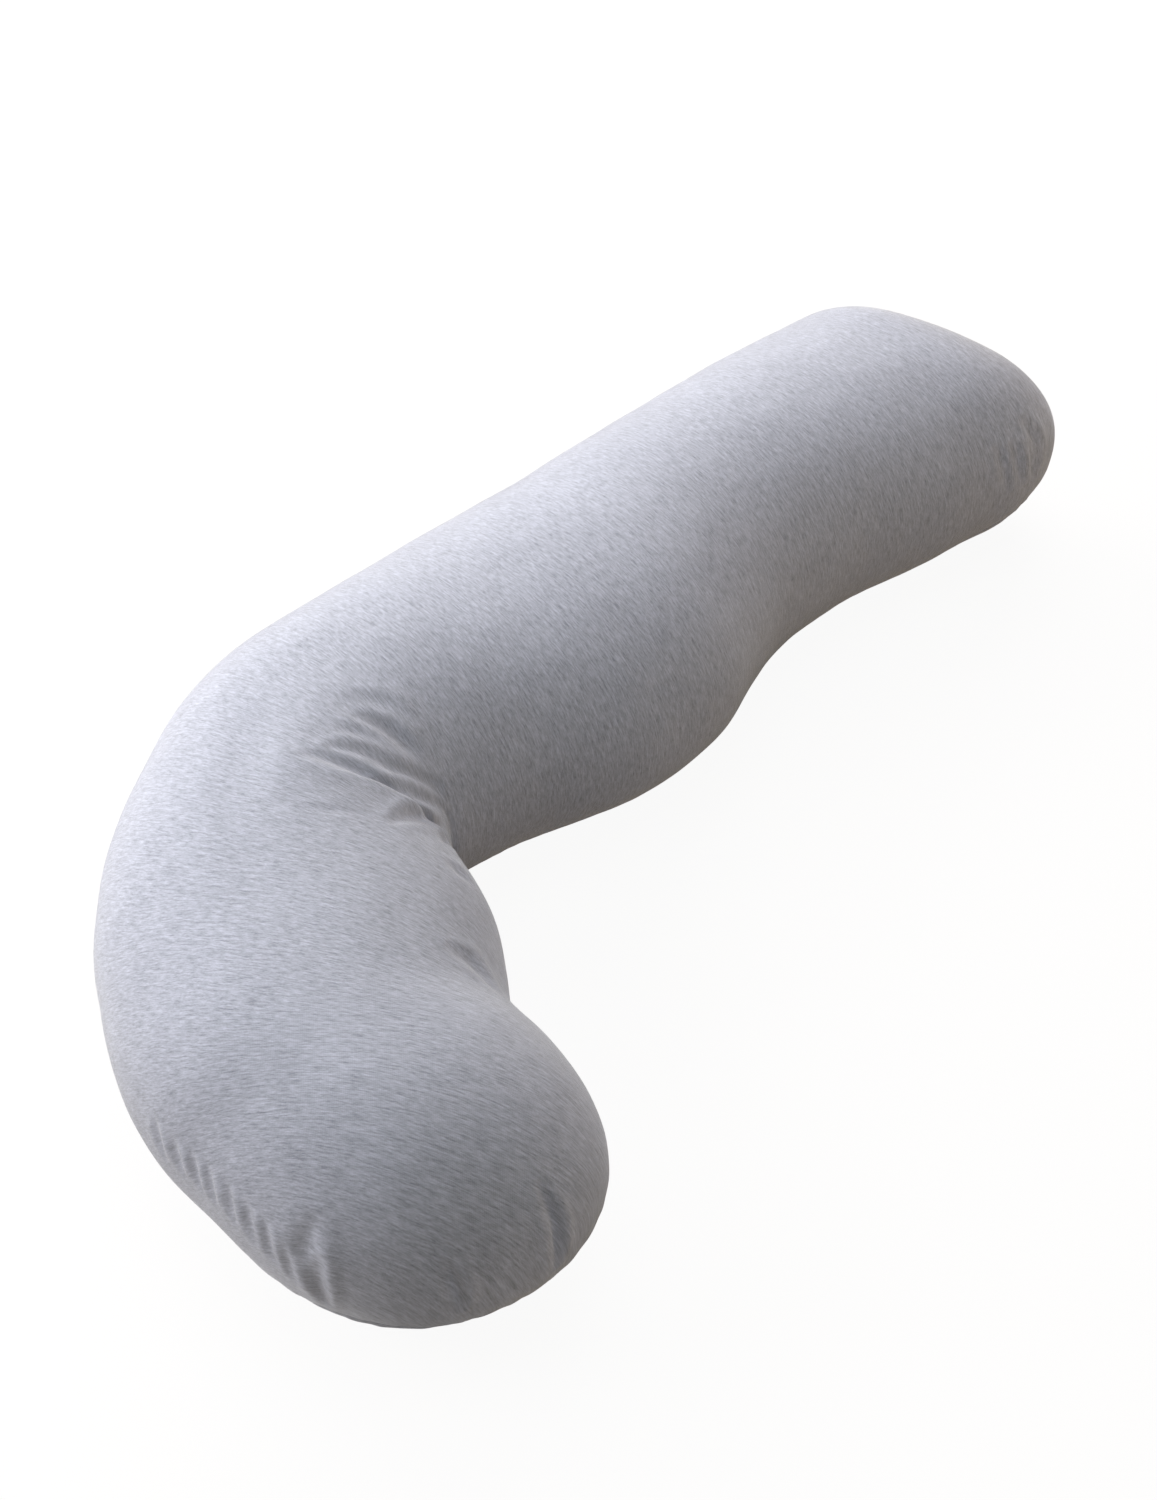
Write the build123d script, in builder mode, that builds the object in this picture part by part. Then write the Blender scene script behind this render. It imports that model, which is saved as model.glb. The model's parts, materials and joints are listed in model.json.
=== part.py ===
"""Nursing pillow: a long J-shaped cushion in a removable knit cover.

The cover has a top and a bottom panel with one seam between them, and a zip in the back of the long
arm. Inside is a plain casing filled with fibre. The long arm and the short arm are two rigid lengths of
tube, joined at the elbow: the long arm's cover runs on round the bend as a sleeve, and the short arm's
cover starts inside that sleeve, so the elbow opens and closes without a gap.

Millimetres. +X runs along the long arm, +Y to its back and +Z up. The pillow rests on z = 0.
"""

import os
from collections import namedtuple
from math import asin, cos, degrees, radians, sin

from build123d import *

# Where the elbow turns: a vertical line just outside the sharp inner crease
ELBOW_X = -213
ELBOW_Y = -24
ELBOW_TURN = 71  # how far the tube turns between the two arms, degrees
ELBOW_OPEN = 18  # how far the elbow opens from rest
ELBOW_CLOSE = 30  # how far it closes from rest
SLEEVE_TURN = ELBOW_TURN - ELBOW_OPEN - 1  # the sleeve still covers the short arm when the elbow is open
TUCK_TURN = ELBOW_OPEN + 1.5  # the short arm starts here, inside the sleeve

# Cross-sections of the tube, each at a distance along its arm from the elbow. Outer and inner are the
# edges of the tube in plan, measured from the elbow's centre, and top is the height of its crown.
Station = namedtuple("Station", "along outer inner top")
ELBOW = Station(0, 340, 22, 243)
LONG_ARM = [
    ELBOW,
    Station(80, 340, 20, 243),
    Station(205, 340, 8, 243),
    Station(365, 340, 29, 240),
    Station(530, 339, 49, 235),
    Station(660, 334, 30, 231),
    Station(725, 327, 14, 229),
]
LONG_TIP = Station(812, 316, -6, 226)
SHORT_ARM = [
    ELBOW,
    Station(70, 349, 27, 243),
    Station(150, 346, 45, 242),
    Station(205, 333, 40, 240),
]
SHORT_TIP = Station(353, 307, -7, 238)

# Section and end shapes
BASE_ANGLE = 62  # the flat base starts this far round the ellipse below its widest point
END_ROUNDNESS = 2.4  # 2 is an ellipse, more is squarer
END_STEPS = [0.3, 0.55, 0.75, 0.88, 0.95, 0.985]  # sections of a rounded end, as fractions of its depth

# Layers, as depths below the outside of the cover
COVER = 2.5
CASING_OUT = 4.0
CASING_IN = 6.0
FILL_OUT = 6.5
NEST = 3.2  # how much smaller the short arm is where it runs in the sleeve
CASING_END = 2.0  # thickness of the casing where it closes across the tube at the elbow
FILL_GAP = 0.5

# Seam between the top and bottom panels: high at the back, low at the front
BACK_SEAM_Z = 110
FRONT_SEAM_Z = 34
SHORT_SEAM_Z = 100
SHORT_TIP_SEAM_Z = 45

# Zip, a number 5 coil zip in the straight back of the long arm
ZIP_START = 20  # distance from the elbow to its closed end
ZIP_LENGTH = 460
ZIP_WINDOW = 24  # height of the gap between the two panels
TAPE_GAP = 1.6
TAPE_WIDTH = 11
TAPE_THICKNESS = 0.9
TAPE_DEPTH = 1.0  # outside of the tape below the outside of the cover
COIL_WIDTH = 2.2
COIL_HEIGHT = 1.8
STOP_LENGTH = 3
SLIDER_LENGTH = 11
SLIDER_WIDTH = 9.4
SLIDER_TAIL = 6.4
PLATE = 1.4
RAIL = 0.8
NECK_LENGTH = 3
NECK_WIDTH = 1.0
SLIDE_CLEARANCE = 0.3
BRIDGE_WIDTH = 2.4
BRIDGE_LENGTH = 7.6
BRIDGE_BAR = 1.2
TAB_BAR_RADIUS = 0.8
TAB_LENGTH = 26
TAB_WIDTH = 7
TAB_THICKNESS = 1.3
TAB_ARM = 1.3

# Care label, a blank folded tape sewn into the back seam
LABEL_X = ZIP_START + ZIP_LENGTH + 60
LABEL_WIDTH = 28
LABEL_DROP = 44
LABEL_THICKNESS = 0.9
LABEL_CLEARANCE = 0.5

os.makedirs("parts", exist_ok=True)


def save(built, name):
    """Label a finished piece and write it."""
    built.part.label = name
    export_step(built.part, f"parts/{name}.step")


def across(turn, along):
    """Vertical plane across the tube where the elbow has turned this far. X points outwards, Y up."""
    run = Vector(cos(radians(turn)), sin(radians(turn)), 0)
    outward = Vector(-sin(radians(turn)), cos(radians(turn)), 0)
    return Plane(origin=Vector(ELBOW_X, ELBOW_Y, 0) + run * along, x_dir=outward, z_dir=run)


def tube_section(turn, along, station, inset, shrink=1.0):
    """Ellipse with a flat base, drawn inset from the outside of the cover."""
    base = sin(radians(BASE_ANGLE))
    axis_height = station.top * base / (1 + base)
    half_width = ((station.outer - station.inner) / 2 - inset) * shrink
    half_height = (station.top - axis_height - inset) * shrink
    drop = (axis_height - inset) * shrink
    start = degrees(asin(drop / half_height))
    centre = ((station.outer + station.inner) / 2, axis_height)
    with BuildSketch(across(turn, along)) as section:
        with BuildLine():
            crown = EllipticalCenterArc(
                centre, half_width, half_height, start_angle=-start, arc_size=180 + 2 * start
            )
            Line(crown @ 1, crown @ 0)
        make_face()
    return section.sketch


def refined(stations):
    """Add a station in each gap, on the smooth curve through its four neighbours."""
    dense = [stations[0]]
    for index in range(len(stations) - 1):
        near, far = stations[index], stations[index + 1]
        before = stations[max(index - 1, 0)]
        after = stations[min(index + 2, len(stations) - 1)]
        values = zip(before, near, far, after)
        dense.append(Station(*((9 * (b + c) - a - d) / 16 for a, b, c, d in values)))
        dense.append(far)
    return dense


def between(shoulder, tip, step):
    """Station part of the way from the shoulder of a rounded end to its tip."""
    return Station(*(a + (b - a) * step for a, b in zip(shoulder, tip)))


def arm_sections(stations, tip, turn, direction, inset, elbow_inset):
    """Sections from the elbow to the rounded end of one arm."""
    sections = []
    for station in refined(stations):
        extra = elbow_inset if station is ELBOW else 0
        sections.append(tube_section(turn, direction * station.along, station, inset + extra))
    shoulder = stations[-1]
    for step in END_STEPS:
        shrink = (1 - step**END_ROUNDNESS) ** (1 / END_ROUNDNESS)
        station = between(shoulder, tip, step)
        along = direction * (station.along - inset * step)
        sections.append(tube_section(turn, along, station, inset, shrink))
    return sections


def long_arm_form(inset, sleeve_turn=0):
    """Solid long arm, with the sleeve round the elbow where one is asked for."""
    with BuildPart() as form:
        loft(arm_sections(LONG_ARM, LONG_TIP, 0, 1, inset, 0), ruled=True)
        if sleeve_turn:
            revolve(
                tube_section(0, 0, ELBOW, inset),
                axis=Axis((ELBOW_X, ELBOW_Y, 0), (0, 0, 1)),
                revolution_arc=sleeve_turn,
            )
    return form.part


def short_arm_form(inset, tuck_turn):
    """Solid short arm, with its smaller tucked-in length from tuck_turn round the elbow."""
    with BuildPart() as form:
        loft(arm_sections(SHORT_ARM, SHORT_TIP, ELBOW_TURN, -1, inset, NEST), ruled=True)
        revolve(
            tube_section(tuck_turn, 0, ELBOW, inset + NEST),
            axis=Axis((ELBOW_X, ELBOW_Y, 0), (0, 0, 1)),
            revolution_arc=ELBOW_TURN - tuck_turn,
        )
    return form.part


# Cutting planes along the seam
long_seam = Plane(
    origin=(ELBOW_X, ELBOW_Y + ELBOW.outer, BACK_SEAM_Z),
    x_dir=(1, 0, 0),
    z_dir=(0, -(BACK_SEAM_Z - FRONT_SEAM_Z), ELBOW.outer - ELBOW.inner),
)
short_seam_fall = (SHORT_SEAM_Z - SHORT_TIP_SEAM_Z) / SHORT_TIP.along
short_seam = Plane(
    origin=across(ELBOW_TURN, 0).origin + Vector(0, 0, SHORT_SEAM_Z),
    x_dir=across(ELBOW_TURN, 0).x_dir,
    z_dir=Vector(0, 0, 1) - across(ELBOW_TURN, 0).z_dir * short_seam_fall,
)

# Zip datum planes and places
back_y = ELBOW_Y + ELBOW.outer
tape_y = back_y - TAPE_DEPTH
zip_x = ELBOW_X + ZIP_START
zip_mid_x = zip_x + ZIP_LENGTH / 2
slider_x = zip_x + 2 * STOP_LENGTH + SLIDER_LENGTH / 2 + 0.5
SIDES = {"upper": 1, "lower": -1}

# ---- Long arm: cover, casing and filling ----

long_outside = long_arm_form(0, SLEEVE_TURN)
long_cover_inside = long_arm_form(COVER, SLEEVE_TURN + 1)
PANELS = {"top": Keep.TOP, "bottom": Keep.BOTTOM}

for panel, side in PANELS.items():
    with BuildPart() as cover_long:
        add(long_outside)
        add(long_cover_inside, mode=Mode.SUBTRACT)
        split(bisect_by=long_seam, keep=side)
        with Locations((zip_mid_x, back_y, BACK_SEAM_Z)):
            Box(ZIP_LENGTH + 1, 4 * COVER, ZIP_WINDOW, mode=Mode.SUBTRACT)
    save(cover_long, f"cover_{panel}_panel_long_arm")

elbow_end = across(0, 0)
for panel, side in PANELS.items():
    with BuildPart() as cavity:
        add(long_arm_form(CASING_IN))
        split(bisect_by=elbow_end.offset(CASING_END), keep=Keep.TOP)
    with BuildPart() as casing_long:
        add(long_arm_form(CASING_OUT))
        add(cavity.part, mode=Mode.SUBTRACT)
        split(bisect_by=long_seam, keep=side)
    save(casing_long, f"inner_casing_{panel}_long_arm")

with BuildPart() as fill_long:
    add(long_arm_form(FILL_OUT))
    split(bisect_by=elbow_end.offset(CASING_END + FILL_GAP), keep=Keep.TOP)
save(fill_long, "fibre_fill_long_arm")

# ---- Short arm: cover, casing and filling ----

short_outside = short_arm_form(0, TUCK_TURN)
short_cover_inside = short_arm_form(COVER, TUCK_TURN - 1)
for panel, side in PANELS.items():
    with BuildPart() as cover_short:
        add(short_outside)
        add(short_cover_inside, mode=Mode.SUBTRACT)
        split(bisect_by=short_seam, keep=side)
    save(cover_short, f"cover_{panel}_panel_short_arm")

for panel, side in PANELS.items():
    with BuildPart() as casing_short:
        add(short_arm_form(CASING_OUT, TUCK_TURN))
        add(short_arm_form(CASING_IN, TUCK_TURN + 1), mode=Mode.SUBTRACT)
        split(bisect_by=short_seam, keep=side)
    save(casing_short, f"inner_casing_{panel}_short_arm")

with BuildPart() as fill_short:
    add(short_arm_form(FILL_OUT, TUCK_TURN + 1.5))
save(fill_short, "fibre_fill_short_arm")

# ---- Zip tapes, coils and stops ----

coil_length = ZIP_LENGTH - 4 * STOP_LENGTH
coil_start_x = zip_x + 2 * STOP_LENGTH
coil_offset = (TAPE_GAP + COIL_WIDTH) / 2
tape_offset = (TAPE_GAP + TAPE_WIDTH) / 2

for name, side in SIDES.items():
    with BuildPart() as tape:
        with Locations((zip_mid_x, tape_y - TAPE_THICKNESS / 2, BACK_SEAM_Z + side * tape_offset)):
            Box(ZIP_LENGTH, TAPE_THICKNESS, TAPE_WIDTH)
    save(tape, f"zip_tape_{name}")

    with BuildPart() as coil:
        with BuildSketch(Plane.YZ.offset(coil_start_x)):
            with Locations((tape_y + COIL_HEIGHT / 2, BACK_SEAM_Z + side * coil_offset)):
                Rectangle(COIL_HEIGHT, COIL_WIDTH)
        extrude(amount=coil_length)
        fillet(coil.edges().filter_by(Axis.X).group_by(Axis.Y)[-1], COIL_WIDTH / 3)
    save(coil, f"zip_coil_{name}")

with BuildPart() as bottom_stop:
    with Locations((coil_start_x + coil_length + STOP_LENGTH / 2, tape_y + COIL_HEIGHT / 2, BACK_SEAM_Z)):
        Box(STOP_LENGTH, COIL_HEIGHT, TAPE_GAP + 2 * COIL_WIDTH)
    fillet(bottom_stop.edges().filter_by(Axis.Z).group_by(Axis.Y)[-1], COIL_HEIGHT / 4)
save(bottom_stop, "zip_bottom_stop")

with BuildPart() as top_stops:
    with Locations((coil_start_x - STOP_LENGTH / 2, tape_y + COIL_HEIGHT / 2, BACK_SEAM_Z)):
        with Locations((0, 0, coil_offset), (0, 0, -coil_offset)):
            Box(STOP_LENGTH, COIL_HEIGHT, COIL_WIDTH)
    fillet(top_stops.edges().filter_by(Axis.Z).group_by(Axis.Y)[-1], COIL_HEIGHT / 4)
save(top_stops, "zip_top_stops")

# ---- Zip slider ----

coil_top_y = tape_y + COIL_HEIGHT
front_plate_y = coil_top_y + SLIDE_CLEARANCE
tape_back_y = tape_y - TAPE_THICKNESS
back_plate_y = tape_back_y - SLIDE_CLEARANCE - PLATE
crown_y = front_plate_y + PLATE
bar_y = crown_y + TAB_BAR_RADIUS + SLIDE_CLEARANCE
bridge_inner_y = bar_y + TAB_BAR_RADIUS + SLIDE_CLEARANCE


def plate_outline(plane):
    """Slider plate: wide shoulders at the mouth, narrower at the tail."""
    with BuildSketch(plane) as outline:
        with BuildLine():
            Polyline(
                (-SLIDER_LENGTH / 2, SLIDER_TAIL / 2),
                (SLIDER_LENGTH / 6, SLIDER_WIDTH / 2),
                (SLIDER_LENGTH / 2, SLIDER_WIDTH / 2),
                (SLIDER_LENGTH / 2, -SLIDER_WIDTH / 2),
                (SLIDER_LENGTH / 6, -SLIDER_WIDTH / 2),
                (-SLIDER_LENGTH / 2, -SLIDER_TAIL / 2),
                close=True,
            )
        make_face()
        fillet(outline.vertices(), 1.2)
    return outline.sketch


def back_plane(y):
    """Plane facing out of the pillow's back at the slider, with X along the zip."""
    return Plane(origin=(slider_x, y, BACK_SEAM_Z), x_dir=(1, 0, 0), z_dir=(0, 1, 0))


with BuildPart() as slider:
    extrude(plate_outline(back_plane(front_plate_y)), amount=PLATE)
    fillet(slider.faces().sort_by(Axis.Y)[-1].edges(), 0.5)
    extrude(plate_outline(back_plane(back_plate_y)), amount=PLATE)
    with BuildSketch(back_plane(back_plate_y + PLATE)):
        with Locations((SLIDER_LENGTH / 4, 0)):
            SlotOverall(NECK_LENGTH, NECK_WIDTH)
    extrude(amount=front_plate_y - back_plate_y - PLATE)
    with BuildSketch(back_plane(front_plate_y)):
        with Locations((SLIDER_LENGTH / 6, 0)):
            with GridLocations(0, SLIDER_WIDTH - RAIL, 1, 2):
                Rectangle(SLIDER_LENGTH / 2, RAIL)
    extrude(amount=-(COIL_HEIGHT - SLIDE_CLEARANCE))
    with BuildSketch(Plane(origin=(slider_x, crown_y, BACK_SEAM_Z), z_dir=(0, 0, 1))):
        with Locations((0, (bridge_inner_y + BRIDGE_BAR - crown_y) / 2)):
            Rectangle(BRIDGE_LENGTH, bridge_inner_y + BRIDGE_BAR - crown_y)
        with Locations((0, (bridge_inner_y - crown_y) / 2)):
            Rectangle(BRIDGE_LENGTH - 2 * BRIDGE_BAR, bridge_inner_y - crown_y, mode=Mode.SUBTRACT)
    extrude(amount=BRIDGE_WIDTH / 2, both=True)
    bridge_top = slider.faces().sort_by(Axis.Y)[-1]
    fillet(bridge_top.edges().filter_by(Axis.Z), 1.0)
save(slider, "zip_slider")

# ---- Zip pull tab ----

with BuildPart() as pull_tab:
    with BuildSketch(back_plane(bar_y - TAB_THICKNESS / 2)):
        with Locations((TAB_LENGTH / 2, 0)):
            SlotOverall(TAB_LENGTH + 2 * TAB_BAR_RADIUS, TAB_WIDTH)
        Rectangle(BRIDGE_LENGTH + 2, TAB_WIDTH, mode=Mode.SUBTRACT)
        with Locations((BRIDGE_LENGTH / 4 + 1, 0)):
            with GridLocations(0, TAB_WIDTH - TAB_ARM, 1, 2):
                Rectangle(BRIDGE_LENGTH / 2 + 2, TAB_ARM)
        with Locations((TAB_LENGTH - 3.5, 0)):
            Circle(1.6, mode=Mode.SUBTRACT)
    extrude(amount=TAB_THICKNESS)
    with BuildSketch(Plane(origin=(slider_x, bar_y, BACK_SEAM_Z), z_dir=(0, 0, 1))):
        Circle(TAB_BAR_RADIUS)
    extrude(amount=TAB_WIDTH / 2, both=True)
save(pull_tab, "zip_pull_tab")

# ---- Care label ----

label_station = LONG_ARM[4]
label_base = sin(radians(BASE_ANGLE))
label_axis = label_station.top * label_base / (1 + label_base)
label_half_height = label_station.top - label_axis
label_half_width = (label_station.outer - label_station.inner) / 2


def seam_angle(z):
    """Angle round the section's ellipse at height z."""
    return degrees(asin((z - label_axis) / label_half_height))


label_start = seam_angle(BACK_SEAM_Z - LABEL_DROP)
label_arc = seam_angle(BACK_SEAM_Z) - label_start
with BuildPart() as care_label:
    with BuildSketch(across(0, LABEL_X)):
        with BuildLine():
            centre = ((label_station.outer + label_station.inner) / 2, label_axis)
            near = EllipticalCenterArc(
                centre,
                label_half_width + LABEL_CLEARANCE,
                label_half_height + LABEL_CLEARANCE,
                start_angle=label_start,
                arc_size=label_arc,
            )
            far = EllipticalCenterArc(
                centre,
                label_half_width + LABEL_CLEARANCE + LABEL_THICKNESS,
                label_half_height + LABEL_CLEARANCE + LABEL_THICKNESS,
                start_angle=label_start,
                arc_size=label_arc,
            )
            Line(near @ 0, far @ 0)
            Line(near @ 1, far @ 1)
        make_face()
    extrude(amount=LABEL_WIDTH / 2, both=True)
save(care_label, "care_label")
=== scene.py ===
"""Nursing pillow: the soft cover, its zip and what is inside it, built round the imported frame.

Lengths are metres unless a comment says otherwise. A place along the tube is measured from the start of
the elbow: the long arm is negative, the elbow runs from 0 to ELBOW_RUN and the short arm follows it.
"""

import json
import math

import bpy
import numpy as np
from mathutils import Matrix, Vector, kdtree, noise


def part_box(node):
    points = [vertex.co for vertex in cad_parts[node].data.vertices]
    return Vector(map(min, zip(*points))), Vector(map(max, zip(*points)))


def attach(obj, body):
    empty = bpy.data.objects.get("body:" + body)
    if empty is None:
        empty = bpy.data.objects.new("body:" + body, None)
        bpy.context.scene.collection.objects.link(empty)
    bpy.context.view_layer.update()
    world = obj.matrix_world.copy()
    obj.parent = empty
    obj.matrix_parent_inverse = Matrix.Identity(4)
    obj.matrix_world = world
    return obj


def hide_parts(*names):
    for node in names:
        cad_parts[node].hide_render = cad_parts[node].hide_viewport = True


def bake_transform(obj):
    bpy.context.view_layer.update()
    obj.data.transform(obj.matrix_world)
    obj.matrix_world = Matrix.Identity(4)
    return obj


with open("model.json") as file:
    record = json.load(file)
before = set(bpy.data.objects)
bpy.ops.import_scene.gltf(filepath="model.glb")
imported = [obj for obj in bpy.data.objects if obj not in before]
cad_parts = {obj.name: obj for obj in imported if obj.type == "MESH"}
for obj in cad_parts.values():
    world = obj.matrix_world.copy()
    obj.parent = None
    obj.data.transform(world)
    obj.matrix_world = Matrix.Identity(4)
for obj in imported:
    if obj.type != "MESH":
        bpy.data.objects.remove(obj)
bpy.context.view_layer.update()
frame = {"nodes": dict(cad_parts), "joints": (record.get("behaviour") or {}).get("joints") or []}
joints = {joint["name"]: joint for joint in frame["joints"]}
nodes = frame["nodes"]

# ---- Shape of the tube: the frame's, refined against the photograph ----

MM = 0.001
ELBOW = np.array(joints["elbow_flex"]["pos_m"][:2])
ELBOW_TURN = math.radians(71)
SPINE_RADIUS = 0.181
ELBOW_RUN = ELBOW_TURN * SPINE_RADIUS
BASE_SINE = math.sin(math.radians(62))  # the section meets the floor this far below its widest point
LONG_SHOULDER, LONG_TIP = -0.725, -0.832
SHORT_SHOULDER, SHORT_TIP = ELBOW_RUN + 0.205, ELBOW_RUN + 0.3635
SHOULDERS, TIPS = (LONG_SHOULDER, SHORT_SHOULDER), (LONG_TIP, SHORT_TIP)
POLE_DROPS = (math.radians(14), math.radians(25))  # how far round each end the seam lies below its middle
TIP_LEANS = (-0.46, 0.03)  # how far the outer side of each end reaches beyond its middle, against its width
END_ROUNDNESS, SECTION_ROUNDNESS = 2.3, 2.12  # exponents of their curves: 2 is an ellipse
BASE_ROUNDING = 0.014
LOWEST = 0.0008  # how near the floor the cover comes
ZIP_LOW, ZIP_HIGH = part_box("zip_tape_lower")[0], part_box("zip_tape_upper")[1]
ZIP_HEIGHT = (ZIP_LOW.z + ZIP_HIGH.z) / 2
ZIP_GAP = 0.0056  # how far each panel stays back from the seam along the zip
ZIP_SOFT = 0.005  # half the length over which that starts and stops

# Place along the tube, outer edge, inner edge and crown height in millimetres, then how far the seam
# lies above the widest point of the section on the outer and on the inner side, in degrees
STATIONS = np.array([
    (-830, 330, -7, 226, -14, -14),
    (-725, 336, 22, 229, -8, -26),
    (-660, 342, 30, 231, -5, -32),
    (-530, 342, 52, 235, -0.2, -36),
    (-420, 341, 46, 238, -0.6, -37),
    (-365, 340, 29, 240, -0.9, -38),
    (-300, 340, 5, 242, -1.25, -38),
    (-205, 340, 1, 243, -1.4, -38),
    (-80, 340, 37, 243, -1.4, -34),
    (0, 339, 48, 243, -1.8, -26),
    (112, 327, 36, 243, -8, -14),
    (180, 337, 30, 243, -14, -9),
    (224, 349, 26, 243, -18, -6),
    (294, 358, 26, 243, -22, -5),
    (335, 356, 37, 243, -23, -5),
    (374, 348, 47, 242, -24, -6),
    (429, 328, 33, 240, -27, -8),
    (585, 291, -3, 238, -32, -16),
], float)

# ---- Grid of the cover panels ----

RING_SPACING, FINE_RING_SPACING = 0.0042, 0.0028
FINE_START = 0.10  # rings are closer together from here to the short tip, where the cloth is gathered
LONG_END_ARC, SHORT_END_ARC = 0.19, 0.22  # length of the surface from each shoulder to its tip
COLUMN_SPACING = 0.0042
SECTION_SAMPLES = 241  # points round a section from which a panel's columns are read
SIDES = ("top", "bottom")
PANEL_WIDTHS = {"top": 0.50, "bottom": 0.36}  # usual arc length of each panel from seam to seam
EDGE_STEPS = [0, 0.9, 1.9, 3.1, 4.6, 6.6, 9.2]  # columns beside a seam, millimetres from it
SEAM_GAP = 0.0003  # half the space between the two panels at a seam
GAP_LIMIT = 0.1  # largest share of a short ring that a gap takes
LIP_STEPS = [0.0016, 0.0045]  # how far the turned-in edge goes under, column by column
LIP_LEAN = 0.12  # how far it leans towards its own panel, against its depth
CLOTH_THICKNESS = 0.0009
PATTERN_TURN = math.radians(36)  # turn of the elbow in the flat cloth
PATTERN_LEVELS = {"top": 0.0, "bottom": 3.0, "casing": 6.0}  # keeps their cloth coordinates apart

# ---- Wrinkles ----

SEAM_DEPTH, SEAM_WIDTH = 0.0022, 0.0045  # the narrow valley in which a seam lies
PULL_DEPTH, PULL_WIDTH = 0.0012, 0.016  # the broad dip on both sides of it
SEAM_SAMPLE = 0.0015
SEEDS = {"top": 11, "bottom": 12}
GATHER_HEIGHT = 0.0013
GATHER_SHARES = (0.35, 1.0)  # of that height
GATHER_WIDTHS, GATHER_REACHES = (0.0024, 0.0052), (0.010, 0.034)
GATHER_STEPS = (0.007, 0.020)  # from one gather to the next at a slack seam
GATHER_LEAN = 0.45
GATHER_SPREAD = 0.030  # distance from the seam at which a gather is twice as wide
GATHER_RIDGES = (0.55, 2.1, 0.9)  # height, offset and width of those beside a gather, against its own
SHORT_GATHERS, LONG_GATHERS = (0.40, 0.52), (0.70, 0.80)  # where both ends' gathers start and are full
ELBOW_GATHERS = 0.16  # half the length of seam that the elbow gathers
END_STRENGTH = 0.5115
SIDE_STRENGTHS = {"outer": (0.07, 0.12), "inner": (0.17, 0.55)}  # along the whole seam, more in the elbow
ZIP_BAND = 0.06  # depth of the zip's side, where the next two apply
ZIP_CALM = (0.014, 0.045)  # distance from the zip over which the wrinkles return
ZIP_SWELL, SWELL_WIDTH = 0.0010, 0.016  # the cover swells a little over the zip tapes
FULL_RELIEF = 0.012  # distance from a seam at which folds and lumps are full
BASE_CALM = 0.030  # height above the floor at which wrinkles are full
LUMP_HEIGHT = 0.0022
LUMPS = [(1.0, 7.0, (3.1, 0.4, 7.7)), (0.30, 21.0, (8.3, 5.2, 1.9))]  # share of height, scale, offset
FOLD_SAMPLES = 9
# The soft ridge on each side of a fold: its height, offset and width, against the fold's own
FOLD_RIDGES = [(0.62, 1.9, 1.05), (0.38, -2.1, 1.2)]
# Folds of the top panel: depth and half width, then points along each, as the place along the tube and
# the distance across it from the crown, which is negative on the outer side. All in millimetres
FOLDS = [
    (3.4, 5, [(100, 45), (84, 75), (79, 101), (50, 130), (16, 152)]),
    (3.2, 6, [(43, 60), (31, 82), (23, 110)]),
    (2.0, 4.5, [(72, 46), (62, 74), (54, 102)]),
    (3.6, 4.5, [(115, 95), (98, 122), (79, 139), (49, 159)]),
    (3.8, 5, [(208, 105), (150, 140), (83, 170)]),
    (2.4, 4, [(218, 158), (165, 175)]),
    (2.6, 4.5, [(259, 150), (272, 168)]),
    (1.6, 6, [(28, 40), (5, 72), (-3, 90)]),
    (3.2, 5.5, [(355, 116), (362, 134), (375, 143), (388, 143)]),
    (3.0, 7, [(510, -123), (516, -145), (523, -171)]),
    (4.0, 5, [(526, -138), (531, -165), (536, -180)]),
    (3.4, 4.5, [(560, -44), (577, -42)]),
    (4.8, 4, [(544, 41), (560, 44), (577, 43)]),
    (4.6, 5.5, [(-760, 148), (-767, 190)]),
    (4.0, 5, [(-754, 173), (-762, 208)]),
    (4.0, 5, [(-739, 169), (-743, 209)]),
    (3.2, 5, [(-722, 166), (-729, 211)]),
]
# Short parallel gathers low on the short arm's outer side, which climb with the seam towards the tip
GATHER_PLACES = [371, 393, 413, 430, 452, 471, 488, 504]
FOLDS += [(2.0, 4, [(x, 0.17 * x - 248), (x + 14, 0.17 * x - 275)]) for x in GATHER_PLACES]

# ---- Layers inside, zip and label ----

CASING_DEPTH, FILL_DEPTH = 0.006, 0.0095  # below the cover
INNER_STEP = 3  # every third ring and column of the cover
CASING_HALF_WIDTH = 0.25
FIBRE_CLUMP, CLUMPS_PER_METRE = 0.0015, 55.0
# Where in the noise each axis is shaken. noise_vector isn't used, since its seed is the clock
FIBRE_OFFSETS = [(2.3, 6.1, 4.7), (9.4, 1.8, 3.6), (5.5, 8.2, 0.9)]
COIL_PITCH = 0.0015
COIL_STEPS, COIL_SIDES = 12, 5
COIL_RADIUS = 0.00034
COIL_REACH = 0.0007  # how far the loops of each side pass the middle of the zip
COIL_FLATNESS = 0.7
STITCH_LENGTH, STITCH_SPACE = 0.0026, 0.0007
STITCH_COLUMN = 3  # column of the panel along which the topstitching runs
STITCH_STEPS, STITCH_SIDES = 7, 6
STITCH_RISE, STITCH_SINK = 1.6, 0.9  # height over its ends and their depth, against the thread's radius
STITCH_MARGIN = 0.002
THREAD_RADIUS = 0.00024
THREAD_TAPER = 0.45  # radius of a thread's end, against its own
LABEL_LENGTH, LABEL_STEPS = 0.044, 15
LABEL_MARGIN = 0.001
LABEL_COLUMNS = 40  # columns of the panel over which the label can reach
LABEL_RISE, LABEL_CURL, LABEL_RIPPLE = 0.0022, 0.0055, 0.0012  # at its seam, its free end and across it
RIBBON_THICKNESS = 0.0005

# ---- Materials ----

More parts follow.
